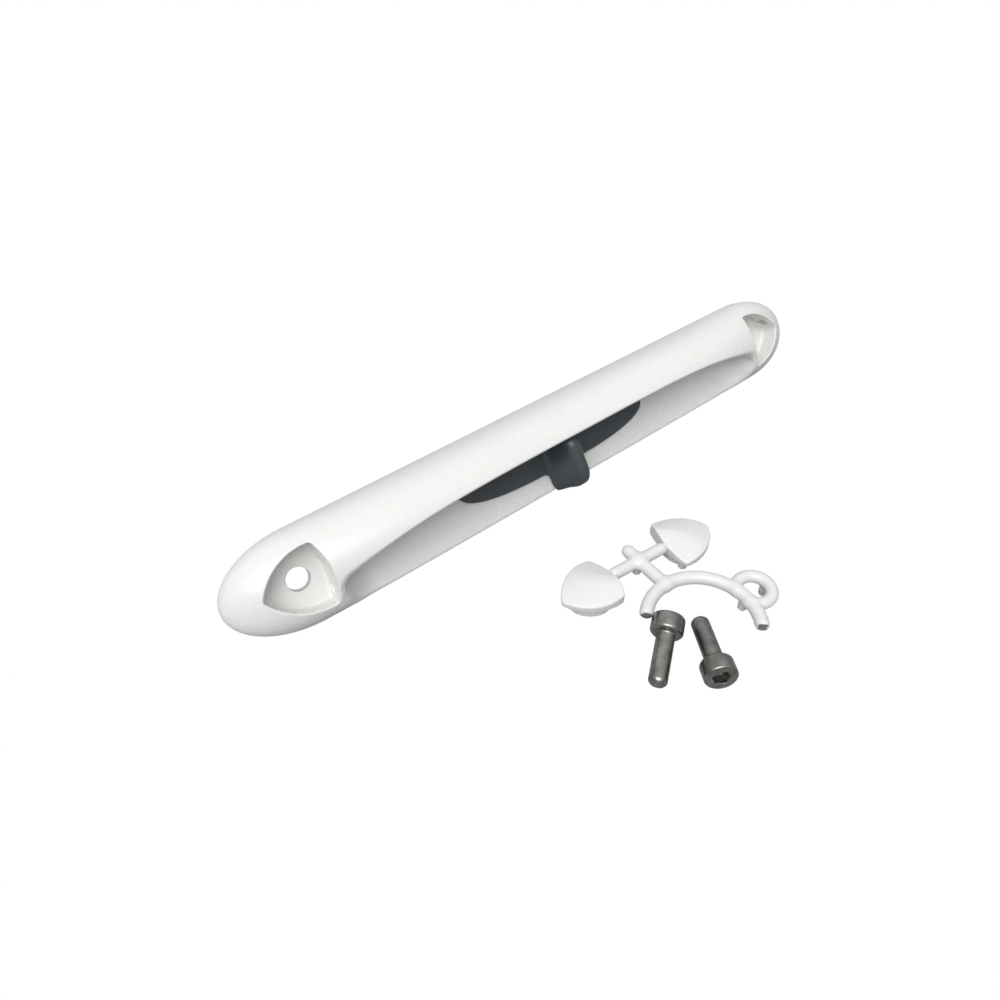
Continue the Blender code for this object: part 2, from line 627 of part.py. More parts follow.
def main():
    clear_scene()
    handle = empty("handle_frame", rotation=(LEAN, 0, 0))
    slide = empty("slider_frame", handle, (REST_X, 0, 0))
    make_housing(handle)
    make_back_plate(handle)
    make_guides(handle)
    make_slider(slide)
    make_carriage(slide)
    make_drag_spring(slide)
    make_drive_pin(slide)
    make_kit_tree()
    make_mounting_screw("mounting_screw_left", (-32.4, -79.4), (-16.9, -68.2))
    make_mounting_screw("mounting_screw_right", (-10.1, -72.7), (-20.8, -89.3))


main()
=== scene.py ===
"""Looks of the sliding-window pull handle and its fixing kit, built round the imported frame.

The white and dark mouldings are made as fields: each is a function that is negative inside the body and
measures distance near its surface, so that edges and inside corners take true moulded radii.  A surface
net turns a field into an even mesh.  The screws are lofted through rings, and the hidden mechanism and the
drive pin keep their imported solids.  Lengths in the shape code are millimetres in a piece's own directions,
and piece() sets the mesh in the frame, in metres.
"""

import json
import math

import bpy
import numpy as np
from mathutils import Matrix, Vector


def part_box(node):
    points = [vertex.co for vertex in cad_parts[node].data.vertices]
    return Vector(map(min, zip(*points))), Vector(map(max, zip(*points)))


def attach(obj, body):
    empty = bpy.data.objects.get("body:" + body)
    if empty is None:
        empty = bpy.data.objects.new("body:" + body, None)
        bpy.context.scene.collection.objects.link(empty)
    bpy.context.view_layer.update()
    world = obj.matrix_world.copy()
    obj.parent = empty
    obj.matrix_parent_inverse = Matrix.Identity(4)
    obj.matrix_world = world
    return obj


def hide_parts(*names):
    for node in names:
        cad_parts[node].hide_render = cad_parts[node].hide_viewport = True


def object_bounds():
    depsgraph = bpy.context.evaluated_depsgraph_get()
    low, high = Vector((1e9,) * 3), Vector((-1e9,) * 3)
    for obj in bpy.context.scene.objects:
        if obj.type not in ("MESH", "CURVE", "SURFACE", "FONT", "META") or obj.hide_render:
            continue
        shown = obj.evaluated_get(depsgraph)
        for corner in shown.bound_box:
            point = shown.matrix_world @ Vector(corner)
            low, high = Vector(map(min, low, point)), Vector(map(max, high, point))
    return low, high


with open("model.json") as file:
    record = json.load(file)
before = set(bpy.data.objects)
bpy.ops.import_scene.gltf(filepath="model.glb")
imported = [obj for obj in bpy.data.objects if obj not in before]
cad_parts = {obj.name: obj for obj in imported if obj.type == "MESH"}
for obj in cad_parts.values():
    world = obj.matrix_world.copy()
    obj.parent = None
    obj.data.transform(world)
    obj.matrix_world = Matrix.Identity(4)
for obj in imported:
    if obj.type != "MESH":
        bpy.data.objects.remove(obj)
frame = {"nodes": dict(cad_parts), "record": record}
cad_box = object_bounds()

MM = 0.001


def centre(node):
    low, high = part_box(node)
    return (low + high) / 2


def extent(node):
    low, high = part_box(node)
    return (high - low) / MM


# ---------------------------------------------------------------- what the frame says
BACK = next(m for m in frame["record"]["mounts"] if m["name"] == "back_face")
LEAN = math.atan2(BACK["axis"][1], -BACK["axis"][2])
TABLE_Z = cad_box[0].z / MM
LENGTH = extent("housing").x
HALF_WIDTH = -TABLE_Z / math.sin(LEAN)
SLIDER_X = centre("thumb_slider").x / MM
KIT_AT = (centre("cover_cap_left") + centre("cover_cap_right")) / 2 / MM
KIT_TURN = math.radians(-5.5)

HANDLE = Matrix.Rotation(LEAN, 4, "X")
SLIDER = HANDLE @ Matrix.Translation((SLIDER_X, 0, 0))
KIT = Matrix.Translation((KIT_AT.x, KIT_AT.y, TABLE_Z)) @ Matrix.Rotation(KIT_TURN, 4, "Z")

# ---------------------------------------------------------------- sizes of the forms, as in the solids
CREST = 20.0
PLAN_END = 22.75
RISE_START = 30.0
SECTION_POWER = 2.3

FLOOR_Z = 4.6
RIM_Z = 5.0
RIM_FROM_Y = -9.0                        # the recess floor climbs from here to its open edge
RIDGE_Y = 2.3                            # the ridge's line at the middle of the handle
RIDGE_DROP = 6.8                         # how far it has swung to the open edge at the recess's ends
RIDGE_POWER = 4.3
RECESS_END = 82.0
RAMP_START = 72.7                        # the recess's end slope, carried down to the mounting face
RAMP_SPREAD = 0.67                       # how far it leans outwards for each millimetre up
UNDERCUT = 7.4
UNDERCUT_Z = 7.5
LIP_Z = 17.3
LIP_ROUND = 0.7                          # edge radius of the ridge, which grows towards its ends
LIP_GROWTH = 1.0
LIP_GROWS_FROM = 64.0
RECESS_FILLET = 2.0
RAMP_FILLET = 4.0

HOLE_X = 89.1
HOLE_RADIUS = 3.3
POCKET_FLOOR_Z = 3.9
POCKET_BASE_X = 83.1
POCKET_HALF_WIDTH = 8.9
POCKET_LENGTH = 16.6
POCKET_BULGE = 2.3
POCKET_BASE_BULGE = 1.2
POCKET_CORNER = 1.2
POCKET_EDGE = 0.5                        # how far its corners are eased where two sides meet
NOTCHES = ((15.0, 3.4), (0.2, -6.0))     # from the pocket's base, towards its tip
NOTCH_RADIUS = 1.5

PLATE_SEAT_HALF = (62.0, 10.0)           # the sunk seat of the back plate
PLATE_SEAT_Z = 1.1
PLATE_SCREW_AT = (57.0, 6.0)
PLATE_SCREW_RADIUS = 1.3
CAVITY_HALF = (52.3, 8.5)
CAVITY_Z = 3.6
SLOT_HALF = (21.4, 2.2)                  # the slot in the recess floor for the slider's neck
NECK_HALF = (9.0, 1.9)

SLIDER_HALF = (36.6, 7.7)
SLIDER_POWER = 2.6
SLIDER_Z = (4.9, 6.4)
TAB_HALF = 3.2                           # half its thickness, at half its height
TAB_TAPER = 1.2
TAB_FLARE = 1.9                          # how far its foot spreads on each side
TAB_FLARE_HEIGHT = 1.5
TAB_FRONT_ROUND = 5.9
TAB_BACK_ROUND = 4.5
TAB_BACK_SLOPE = 0.18
TAB_Y = (-14.2, 5.0)
TAB_Z = (5.4, 17.3)

ROD_RADIUS = 1.85
ROD_HEIGHT = 4.8
ARC_CENTRE = (1.1, -25.0)
ARC_RADIUS = 14.5
ARC_ENDS = ((-40.5, -1), (140.0, 1))     # where it was broken off, in degrees, and which way is past it
LOOP_CENTRE = (19.2, -24.5)
LOOP_RADIUS = 4.6
PEG_RADIUS = 1.35
CAP_BASE_X = 10.6                        # a cover's base corners, from the sprue's cross
CAP_FIT = 0.8
CAP_PLUG_Z = 2.9                         # underside of the lid, where the plug begins
CAP_TIP_Z = 4.0                          # height of its top at the tip
CAP_CROWNING = 0.8                       # how much of the handle's own fall its top follows
CAP_FACET_AT = (4.0, -2.0, 6.9)          # a spot on the flat that cuts the soft crease into its top
CAP_FACET_SLOPE = (0.20, 0.30)
CAP_NUBS = ((12.2, 2.2), (1.3, -5.6))    # snap nubs, from the base's line, for the right cover
CAP_NUB_RADIUS = 1.25
CAP_PLUG_RADIUS = 6.6
CAP_BORE_RADIUS = 4.5
CAP_BORE_DEPTH = 4.4

SCREW_LENGTH = 14.0
SCREW_RADIUS = 2.4
HEAD_RADIUS = 4.25
HEAD_HEIGHT = 5.0
HEAD_ROUND = 0.6
SCREW_PITCH = 0.8
SCREW_GROOVE = 0.012                     # depth of the shank's fine helical groove
SCREW_SIDES = 72
SOCKET_FLATS = 4.0
SOCKET_DEPTH = 2.5


# ---------------------------------------------------------------- fields
def both(a, b, radius):
    """What two bodies share, with a round edge."""
    corner = np.hypot(np.maximum(a + radius, 0), np.maximum(b + radius, 0))
    return corner + np.minimum(np.maximum(a, b), -radius)


def either(a, b, radius):
    """Two bodies joined, with a fillet between them."""
    return -both(-a, -b, radius)


def without(a, b, radius):
    """The first body less the second, with a round edge."""
    return both(a, -b, radius)


def slopes(shape, x, y, z, step):
    return ((shape(x + step, y, z) - shape(x - step, y, z)) / (2 * step),
            (shape(x, y + step, z) - shape(x, y - step, z)) / (2 * step),
            (shape(x, y, z + step) - shape(x, y, z - step)) / (2 * step))


def as_distance(shape, x, y, z):
    """A shape's function over its own slope, which is the distance near its surface."""
    gx, gy, gz = slopes(shape, x, y, z, 0.02)
    return shape(x, y, z) / np.sqrt(gx ** 2 + gy ** 2 + gz ** 2 + 1e-9)


def rectangle(x, y, half_x, half_y, radius):
    qx = np.abs(x) - half_x + radius
    qy = np.abs(y) - half_y + radius
    return np.hypot(np.maximum(qx, 0), np.maximum(qy, 0)) + np.minimum(np.maximum(qx, qy), 0) - radius


def rod(x, y, z, start, end, radius):
    """A round-ended rod between two points."""
    start, end = np.array(start, float), np.array(end, float)
    along = end - start
    share = (x - start[0]) * along[0] + (y - start[1]) * along[1] + (z - start[2]) * along[2]
    share = np.clip(share / (along @ along), 0, 1)
    return np.sqrt((x - start[0] - share * along[0]) ** 2 + (y - start[1] - share * along[1]) ** 2
                   + (z - start[2] - share * along[2]) ** 2) - radius


def bent_rod(x, y, z, middle, bend, from_deg, to_deg, radius):
    """A round-ended rod along an arc that lies level."""
    dx, dy = x - middle[0], y - middle[1]
    half = math.radians(to_deg - from_deg) / 2
    mid = math.radians(to_deg + from_deg) / 2
    angle = np.mod(np.arctan2(dy, dx) - mid + math.pi, 2 * math.pi) - math.pi
    angle = np.clip(angle, -half, half) + mid
    return np.sqrt((dx - bend * np.cos(angle)) ** 2 + (dy - bend * np.sin(angle)) ** 2
                   + (z - middle[2]) ** 2) - radius


def bowed_triangle(x, y, half_width, length, corner):
    """A screw pocket's outline: three bowed sides and round corners, base at x = 0, tip at +X."""
    inner = half_width - corner
    corners = [np.array(c) for c in ((corner, -inner), (length - corner, 0.0), (corner, inner))]
    shape = None
    for i, start in enumerate(corners):
        end = corners[(i + 1) % 3]
        bulge = POCKET_BASE_BULGE if i == 2 else POCKET_BULGE
        chord = end - start
        size = np.hypot(*chord)
        bow = (size ** 2 / 4 + bulge ** 2) / (2 * bulge)
        outward = np.array((chord[1], -chord[0])) / size
        middle = (start + end) / 2 + outward * (bulge - bow)
        side = np.hypot(x - middle[0], y - middle[1]) - bow - corner
        shape = side if shape is None else both(shape, side, POCKET_EDGE)
    return shape


def ease(share):
    share = np.clip(share, 0, 1)
    return share * share * (3 - 2 * share)


# ---------------------------------------------------------------- from field to mesh
def span(low, high, step):
    return np.linspace(low, high, int(round((high - low) / step)) + 1)


def surface_net(field, axes):
    """Points and quads of a field's surface: one point in each cell of the grid that it crosses."""
    grid = np.meshgrid(*axes, indexing="ij")
    value = field(*grid)
    cells = tuple(n - 1 for n in value.shape)
    total = np.zeros((3, *cells))
    count = np.zeros(cells)
    crossings = []
    for axis in range(3):
        low = tuple(slice(0, -1) if k == axis else slice(None) for k in range(3))
        high = tuple(slice(1, None) if k == axis else slice(None) for k in range(3))
        a, b = value[low], value[high]
        crossed = (a < 0) != (b < 0)
        share = np.where(crossed, a / np.where(crossed, a - b, 1), 0)
        spots = [g[low] + share * (g[high] - g[low]) for g in grid]
        crossings.append((crossed, a < 0))
        first, second = (k for k in range(3) if k != axis)
        for i in (0, 1):
            for j in (0, 1):
                part = [slice(None)] * 3
                part[first] = slice(i, i + cells[first])
                part[second] = slice(j, j + cells[second])
                part = tuple(part)
                count += crossed[part]
                for k in range(3):
                    total[k] += np.where(crossed[part], spots[k][part], 0)
    used = count > 0
    number = np.full(cells, -1)
    number[used] = np.arange(used.sum())
    points = (total[:, used] / count[used]).T
    quads = []
    for axis, (crossed, inside_first) in enumerate(crossings):
        first, second = (k for k in range(3) if k != axis)
        inner = [slice(None)] * 3
        inner[first] = slice(1, -1)
        inner[second] = slice(1, -1)
        at = np.argwhere(crossed[tuple(inner)])
        keep = inside_first[tuple(inner)][tuple(at.T)]
        corners = []
        for i, j in ((0, 0), (1, 0), (1, 1), (0, 1)):
            cell = at.copy()
            cell[:, first] += i
            cell[:, second] += j
            corners.append(number[tuple(cell.T)])
        faces = np.stack(corners, axis=1)
        if axis == 1:
            keep = ~keep
        faces[~keep] = faces[~keep][:, ::-1]
        quads.append(faces)
    points = settle(field, points, min(a[1] - a[0] for a in axes))
    normals = np.stack(slopes(field, *points.T, 0.02), axis=1)
    return points, np.concatenate(quads), normals / (np.linalg.norm(normals, axis=1)[:, None] + 1e-9)


def settle(field, points, step):
    """Moves the points onto the field's surface, by less than a cell."""
    for _ in range(4):
        x, y, z = points.T
        slope = np.stack(slopes(field, x, y, z, 0.01), axis=1)
        move = -field(x, y, z)[:, None] * slope / ((slope ** 2).sum(axis=1)[:, None] + 1e-6)
        size = np.linalg.norm(move, axis=1)[:, None]
        points = points + move * np.minimum(1, 0.35 * step / np.maximum(size, 1e-9))
    return points


SHARP_DEG = 40                           # edges turned more than this stay sharp on a form without normals


def piece(name, form, place, body, node, material):
    """A mesh from millimetre points, set in the frame by its place, riding on a body for a CAD node."""
    points, faces, normals = form
    mesh = bpy.data.meshes.new(name)
    spots = np.asarray(points, float) @ np.array(place.to_3x3()).T + np.array(place.translation)
    mesh.from_pydata((spots * MM).tolist(), [], [list(map(int, f)) for f in faces])
    mesh.shade_smooth()
    if normals is None:
        mesh.set_sharp_from_angle(angle=math.radians(SHARP_DEG))
    else:
        turned = normals @ np.array(place.to_3x3()).T
        mesh.normals_split_custom_set_from_vertices(turned.tolist())
    mesh.materials.append(material)
    obj = bpy.data.objects.new(name, mesh)
    bpy.context.collection.objects.link(obj)
    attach(obj, body)
    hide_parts(node)
    return obj


# ---------------------------------------------------------------- the handle's moulding
def bow_shape(x, y, z):
    """The outer form: half a superellipse across, falling to an ellipse at each end in plan."""
    past = np.maximum(np.abs(x) - (LENGTH / 2 - PLAN_END), 0) / PLAN_END
    fall = np.clip((np.abs(x) - RISE_START) / (LENGTH / 2 - RISE_START), 0, 0.9999)
    crest = CREST * np.sqrt(1 - fall ** 2)
    room = 1 - past ** 2
    return (y / HALF_WIDTH) ** 2 - room + np.maximum(room, 0) * (np.maximum(z, 0) / crest) ** SECTION_POWER


def recess_wall(x, y, z):
    """The inner wall of the finger recess: it leans back under the ridge, less so towards the ends."""
    reach = np.minimum(np.abs(x), RECESS_END + 1.9)
    ridge = RIDGE_Y - RIDGE_DROP * (reach / RECESS_END) ** RIDGE_POWER
    lip = LIP_Z * np.sqrt(1 - (np.maximum(reach - RISE_START, 0) / (LENGTH / 2 - RISE_START)) ** 2)
    rise = np.clip((z - UNDERCUT_Z) / (lip - UNDERCUT_Z), 0, 1)
    depth = UNDERCUT * np.sqrt(1 - (reach / (RECESS_END + 2.0)) ** 4)
    return y - ridge - depth * (1 - rise ** 2)


def recess_field(x, y, z):
    """The finger recess: its wall, its floor and the ramps by which the floor climbs out at both ends."""
    reach = np.abs(x)
    floor = FLOOR_Z + (RIM_Z - FLOOR_Z) * np.clip((RIM_FROM_Y - y) / (HALF_WIDTH + RIM_FROM_Y), 0, 1)
    ramp = (reach - RAMP_START - RAMP_SPREAD * z) / math.hypot(1, RAMP_SPREAD)
    hollow = both(as_distance(recess_wall, x, y, z), floor - z, RECESS_FILLET)
    return both(hollow, ramp, RAMP_FILLET)


def handle_surface(x, y):
    """Height of the outer form over the mounting face."""
    fall = np.clip((np.abs(x) - RISE_START) / (LENGTH / 2 - RISE_START), 0, 1)
    past = np.clip((np.abs(x) - (LENGTH / 2 - PLAN_END)) / PLAN_END, 0, 0.999)
    across = np.clip(np.abs(y) / (HALF_WIDTH * np.sqrt(1 - past ** 2)), 0, 1)
    return CREST * np.sqrt(1 - fall ** 2) * (1 - across ** 2) ** (1 / SECTION_POWER)


def housing_field(x, y, z):
    """The whole moulding: recess, screw pockets with notches and holes, and the cavity in its back."""
    reach = np.abs(x)
    solid = both(as_distance(bow_shape, x, y, z), -z, 0.5)
    lip = LIP_ROUND + LIP_GROWTH * ease((reach - LIP_GROWS_FROM) / (RECESS_END - LIP_GROWS_FROM))
    solid = without(solid, recess_field(x, y, z), lip)
    outline = bowed_triangle(reach - POCKET_BASE_X, y, POCKET_HALF_WIDTH, POCKET_LENGTH, POCKET_CORNER)
    solid = without(solid, both(outline, POCKET_FLOOR_Z - z, 1.0), 0.55)
    for from_base, across in NOTCHES:
        groove = np.hypot(reach - POCKET_BASE_X - from_base, y - across) - NOTCH_RADIUS
        solid = without(solid, both(groove, np.maximum(POCKET_FLOOR_Z + 1 - z, z - 7.8), 0.3), 0.3)
    solid = without(solid, np.hypot(reach - HOLE_X, y) - HOLE_RADIUS, 0.25)
    seat = rectangle(x, y, *PLATE_SEAT_HALF, 3.3)
    solid = without(solid, np.maximum(seat, z - PLATE_SEAT_Z), 0.15)
    screw_hole = np.hypot(reach - PLATE_SCREW_AT[0], np.abs(y) - PLATE_SCREW_AT[1]) - PLATE_SCREW_RADIUS
    cavity = np.minimum(rectangle(x, y, *CAVITY_HALF, 1.5), screw_hole)
    solid = np.maximum(solid, -np.maximum(cavity, z - CAVITY_Z))
    slot = np.maximum(rectangle(x, y, *SLOT_HALF, 1.0), np.maximum(CAVITY_Z - 1 - z, z - (FLOOR_Z + 1)))
    return np.maximum(solid, -slot)


def make_housing(material):
    end, fine, coarse = 76.0, 0.36, 1.3
    tip = LENGTH / 2 + 0.8
    along = np.concatenate([span(-tip, -end, fine), span(-end, end, coarse)[1:], span(end, tip, fine)[1:]])
    across = span(-HALF_WIDTH - 0.8, HALF_WIDTH + 0.8, fine)
    up = span(-0.8, CREST + 0.8, fine)
    form = surface_net(housing_field, (along, across, up))
    return piece("handle_moulding", form, HANDLE, "handle", "housing", material)


# ---------------------------------------------------------------- the thumb slider
def oval(x, y, z):
    """The slider plate's outline; z only gives the result its shape."""
    across = (np.abs(x) / SLIDER_HALF[0]) ** SLIDER_POWER
    return across + (np.abs(y) / SLIDER_HALF[1]) ** SLIDER_POWER - 1 + 0 * z


def slider_field(x, y, z):
    """The slider: a crowned oval plate, a thumb tab that reaches over the recess floor, and a neck below."""
    crown = SLIDER_Z[1] - 0.3 * (y / SLIDER_HALF[1]) ** 2
    plate = both(both(as_distance(oval, x, y, z), z - crown, 0.8), SLIDER_Z[0] - z, 0.15)
    middle = (TAB_Z[0] + TAB_Z[1]) / 2
    half = TAB_HALF - TAB_TAPER * (z - middle) / (TAB_Z[1] - middle)
    half = half + TAB_FLARE * np.exp((TAB_Z[0] - z) / TAB_FLARE_HEIGHT) * ease((y - TAB_Y[0] + 2.0) / 5.0)
    back = (y - TAB_Y[1] + TAB_BACK_SLOPE * (z - TAB_Z[0])) * 0.984
    above = z - TAB_Z[1]
    side = np.maximum(both(TAB_Y[0] - y, above, TAB_FRONT_ROUND), both(back, above, TAB_BACK_ROUND))
    shape = both(side, (np.abs(x) - half) * 0.97, 2.0 - 1.2 * ease((9.0 - z) / 3.0))
    shape = both(shape, TAB_Z[0] - z, 0.2)
    shape = either(plate, shape, 0.9)
    neck = np.maximum(rectangle(x, y, *NECK_HALF, 0.8), np.maximum(CAVITY_Z - z, z - 5.6))
    return np.minimum(shape, neck)


def make_slider(material):
    margin = 0.6
    axes = (span(-SLIDER_HALF[0] - margin, SLIDER_HALF[0] + margin, 0.32),
            span(TAB_Y[0] - margin, SLIDER_HALF[1] + margin, 0.3),
            span(3.0, TAB_Z[1] + margin, 0.3))
    form = surface_net(slider_field, axes)
    return piece("slider_moulding", form, SLIDER, "slider", "thumb_slider", material)


# ---------------------------------------------------------------- covers and their sprue
def cap_field(hand):
    """A cover: its crowned top follows the bow, and a round plug with snap nubs stands under its rim."""
    def field(x, y, z):
        tip = handle_surface(POCKET_BASE_X + POCKET_LENGTH, 0.0)
        top = CAP_TIP_Z + (handle_surface(POCKET_BASE_X + x, y) - tip) * CAP_CROWNING
        facet = CAP_FACET_AT[2] + CAP_FACET_SLOPE[0] * (x - CAP_FACET_AT[0])
        facet = facet + CAP_FACET_SLOPE[1] * (y - CAP_FACET_AT[1])
        rim = bowed_triangle(x, y, POCKET_HALF_WIDTH - CAP_FIT, POCKET_LENGTH - 2 * CAP_FIT, POCKET_CORNER)
        lid = both(both((z - top) * 0.94, (z - facet) * 0.93, 1.0), CAP_PLUG_Z - z, 0.3)
        shape = both(rim, lid, 0.35)
        from_hole = np.hypot(x - (HOLE_X - POCKET_BASE_X), y)
        plug = both(from_hole - CAP_PLUG_RADIUS, rim + 0.6, 0.8)
        shape = either(shape, both(plug, np.maximum(-z, z - CAP_PLUG_Z - 1), 0.25), 0.3)
        for from_base, across in CAP_NUBS:
            nub = np.hypot(x - from_base, y - across * hand) - CAP_NUB_RADIUS
            shape = either(shape, both(nub, np.maximum(0.3 - z, z - 2.6), 0.3), 0.3)
        return without(shape, both(from_hole - CAP_BORE_RADIUS, z - CAP_BORE_DEPTH, 0.5), 0.2)
    return field


def make_cap(name, node, turn_deg, hand, material):
    place = KIT @ Matrix.Rotation(math.radians(turn_deg), 4, "Z") @ Matrix.Translation((CAP_BASE_X, 0, 0))
    step = 0.25
    axes = (span(-3.2, 17.0, step), span(-9.0, 9.0, step), span(-0.5, 9.0, step))
    form = surface_net(cap_field(hand), axes)
    return piece(name, form, place, "cover_set", node, material)


def past_arc_end(x, y, angle_deg, sense):
    """How far a spot lies past one end of the arc."""
    angle = math.radians(angle_deg)
    dx = x - ARC_CENTRE[0] - ARC_RADIUS * math.cos(angle)
    dy = y - ARC_CENTRE[1] - ARC_RADIUS * math.sin(angle)
    past = sense * (dy * math.cos(angle) - dx * math.sin(angle))
    return np.where(np.hypot(dx, dy) < 4.0, past, -4.0)


def sprue_field(x, y, z):
    """The sprue: a cross of rods, an arc with rough broken ends, a loop on the arc and three pegs."""
    level = ROD_HEIGHT
    stem = rod(x, y, z, (0, 4.2, level), (0.9, ARC_CENTRE[1] + ARC_RADIUS, level), ROD_RADIUS)
    arms = rod(x, y, z, (-8.0, 0, level), (8.0, 0, level), ROD_RADIUS - 0.1)
    gates = rod(x, y, z, (-9.0, 0, level), (9.0, 0, level), ROD_RADIUS - 0.75)
    arc = bent_rod(x, y, z, (*ARC_CENTRE, level), ARC_RADIUS, ARC_ENDS[0][0], ARC_ENDS[1][0], ROD_RADIUS)
    for angle_deg, sense in ARC_ENDS:
        rough = 0.16 * np.sin(2.9 * z) * np.cos(2.3 * (x + y))
        arc = both(arc, past_arc_end(x, y, angle_deg, sense) + rough, 1.2)
    loop = bent_rod(x, y, z, (*LOOP_CENTRE, level), LOOP_RADIUS, -150.0, 150.0, ROD_RADIUS - 0.15)
    shape = either(either(stem, arms, 1.2), gates, 0.6)
    shape = either(either(shape, arc, 1.0), loop, 0.7)
    arc_side = (ARC_CENTRE[0] + ARC_RADIUS, ARC_CENTRE[1])
    loop_side = (LOOP_CENTRE[0] + LOOP_RADIUS, LOOP_CENTRE[1])
    for at in ((0, 0), arc_side, loop_side):
        peg = np.hypot(x - at[0], y - at[1]) - PEG_RADIUS + 0.03 * (level - z)
        peg = both(peg, np.maximum(-z, z - level), 0.3)
        shape = either(shape, peg, 0.5)
    return shape


def make_sprue(material, broken):
    axes = (span(-15.5, 26.5, 0.28), span(-36.5, 6.8, 0.28), span(-0.5, 7.3, 0.26))
    form = surface_net(sprue_field, axes)
    obj = piece("sprue_moulding", form, KIT, "cover_set", "cap_sprue", material)
    # the faces past the arc's broken ends take the dark material, which is painted shade at the rod tips
    obj.data.materials.append(broken)
    for face in obj.data.polygons:
        middle = form[0][list(face.vertices)].mean(axis=0)
        past = max(past_arc_end(middle[0], middle[1], angle, sense) for angle, sense in ARC_ENDS)
        face.material_index = int(past > -0.2)
    return obj


# ---------------------------------------------------------------- screws
def loft(rings):
    """Points and faces through rings of equal length, closed at both ends."""
    count = len(rings[0])
    points = [p for ring in rings for p in ring]
    faces = [tuple(reversed(range(count))), tuple(range(len(points) - count, len(points)))]
    for i in range(len(rings) - 1):
        for j in range(count):
            k = (j + 1) % count
            faces.append((i * count + j, i * count + k, (i + 1) * count + k, (i + 1) * count + j))
    return points, faces


def circle_ring(radius, height, sides):
    return [(radius * math.cos(2 * math.pi * j / sides), radius * math.sin(2 * math.pi * j / sides), height)
            for j in range(sides)]


def hexagon_ring(flats, height, sides):
    """Points round a hexagon at the same angles as a circle's."""
    ring = []
    for j in range(sides):
        angle = 2 * math.pi * j / sides
        from_flat = (angle % (math.pi / 3)) - math.pi / 6
        radius = flats / 2 / math.cos(from_flat)
        ring.append((radius * math.cos(angle), radius * math.sin(angle), height))
    return ring


def thread_rings(low, high, pitch, depth, sides):
    """A fine helical groove on the shank, run out at both ends."""
    rings = []
    steps = int((high - low) / pitch * 10)
    for i in range(steps + 1):
        height = low + (high - low) * i / steps
        fade = float(ease(min(height - low, high - height) / pitch))
        ring = []
        for j in range(sides):
            angle = 2 * math.pi * j / sides
            phase = (height / pitch - j / sides) % 1
            groove = 0.5 + 0.5 * math.cos(2 * math.pi * phase)
            radius = SCREW_RADIUS - depth * fade * groove
            ring.append((radius * math.cos(angle), radius * math.sin(angle), height))
        rings.append(ring)
    return rings


def screw_rings(sides):
    """A socket head cap screw from its tip up, over the head and down into the hexagon socket."""
    top = SCREW_LENGTH + HEAD_HEIGHT
    tip = ((0.4, 0.0), (1.35, 0.0), (1.6, 0.06), (1.95, 0.35), (2.25, 0.75), (2.36, 1.0))
    rings = [circle_ring(radius, height, sides) for radius, height in tip]
    rings += thread_rings(1.2, SCREW_LENGTH - 0.9, SCREW_PITCH, SCREW_GROOVE, sides)
    rings.append(circle_ring(SCREW_RADIUS, SCREW_LENGTH - HEAD_ROUND, sides))
    for i in range(1, 6):
        angle = math.pi / 2 * i / 5
        radius = SCREW_RADIUS + HEAD_ROUND * (1 - math.cos(angle))
        rings.append(circle_ring(radius, SCREW_LENGTH - HEAD_ROUND + HEAD_ROUND * math.sin(angle), sides))
    underside = ((3.5, 0.02), (3.7, 0.08), (4.1, 0.5), (4.22, 0.7), (HEAD_RADIUS, 0.9))
    rings += [circle_ring(radius, SCREW_LENGTH + height, sides) for radius, height in underside]
    for i in range(7):
        angle = math.pi / 2 * i / 6
        radius = HEAD_RADIUS - HEAD_ROUND * (1 - math.cos(angle))
        rings.append(circle_ring(radius, top - HEAD_ROUND + HEAD_ROUND * math.sin(angle), sides))
    rings += [circle_ring(3.2, top, sides), circle_ring(2.55, top, sides)]
    socket = ((SOCKET_FLATS + 0.25, 0.12), (SOCKET_FLATS, 0.25), (SOCKET_FLATS, 1.4),
              (SOCKET_FLATS - 0.05, SOCKET_DEPTH))
    rings += [hexagon_ring(flats, top - depth, sides) for flats, depth in socket]
    rings += [circle_ring(1.6, top - 2.6, sides), circle_ring(0.5, top - 2.9, sides)]
    return rings


def screw_place(node):
    """Where a loose screw lies: its axis runs through the middle of its solid, tip to head."""
    spots = np.array([v.co for v in frame["nodes"][node].data.vertices]) / MM
    middle = spots.mean(axis=0)
    axis = np.linalg.svd(spots - middle)[2][0]
    along = (spots - middle) @ axis
    width = np.linalg.norm(spots - middle - np.outer(along, axis), axis=1)
    if width[along > 0].max() < width[along < 0].max():
        axis, along = -axis, -along
    tip_ring = spots[along < along.min() + 0.3].mean(axis=0)
    head_ring = spots[along > along.max() - 0.3].mean(axis=0)
    axis = Vector(head_ring - tip_ring).normalized()
    turn = axis.to_track_quat("Z", "Y").to_matrix().to_4x4()
    return Matrix.Translation(Vector(tip_ring)) @ turn


def make_screw(name, node, body, material):
    form = (*loft(screw_rings(SCREW_SIDES)), None)
    return piece(name, form, screw_place(node), body, node, material)


# ---------------------------------------------------------------- materials
def new_material(name, colour, roughness, metallic=0.0):
    made = bpy.data.materials.new(name)
    made.use_nodes = True
    shader = made.node_tree.nodes["Principled BSDF"]
    shader.inputs["Base Color"].default_value = (*colour, 1)
    shader.inputs["Roughness"].default_value = roughness
    shader.inputs["Metallic"].default_value = metallic
    return made, made.node_tree, shader


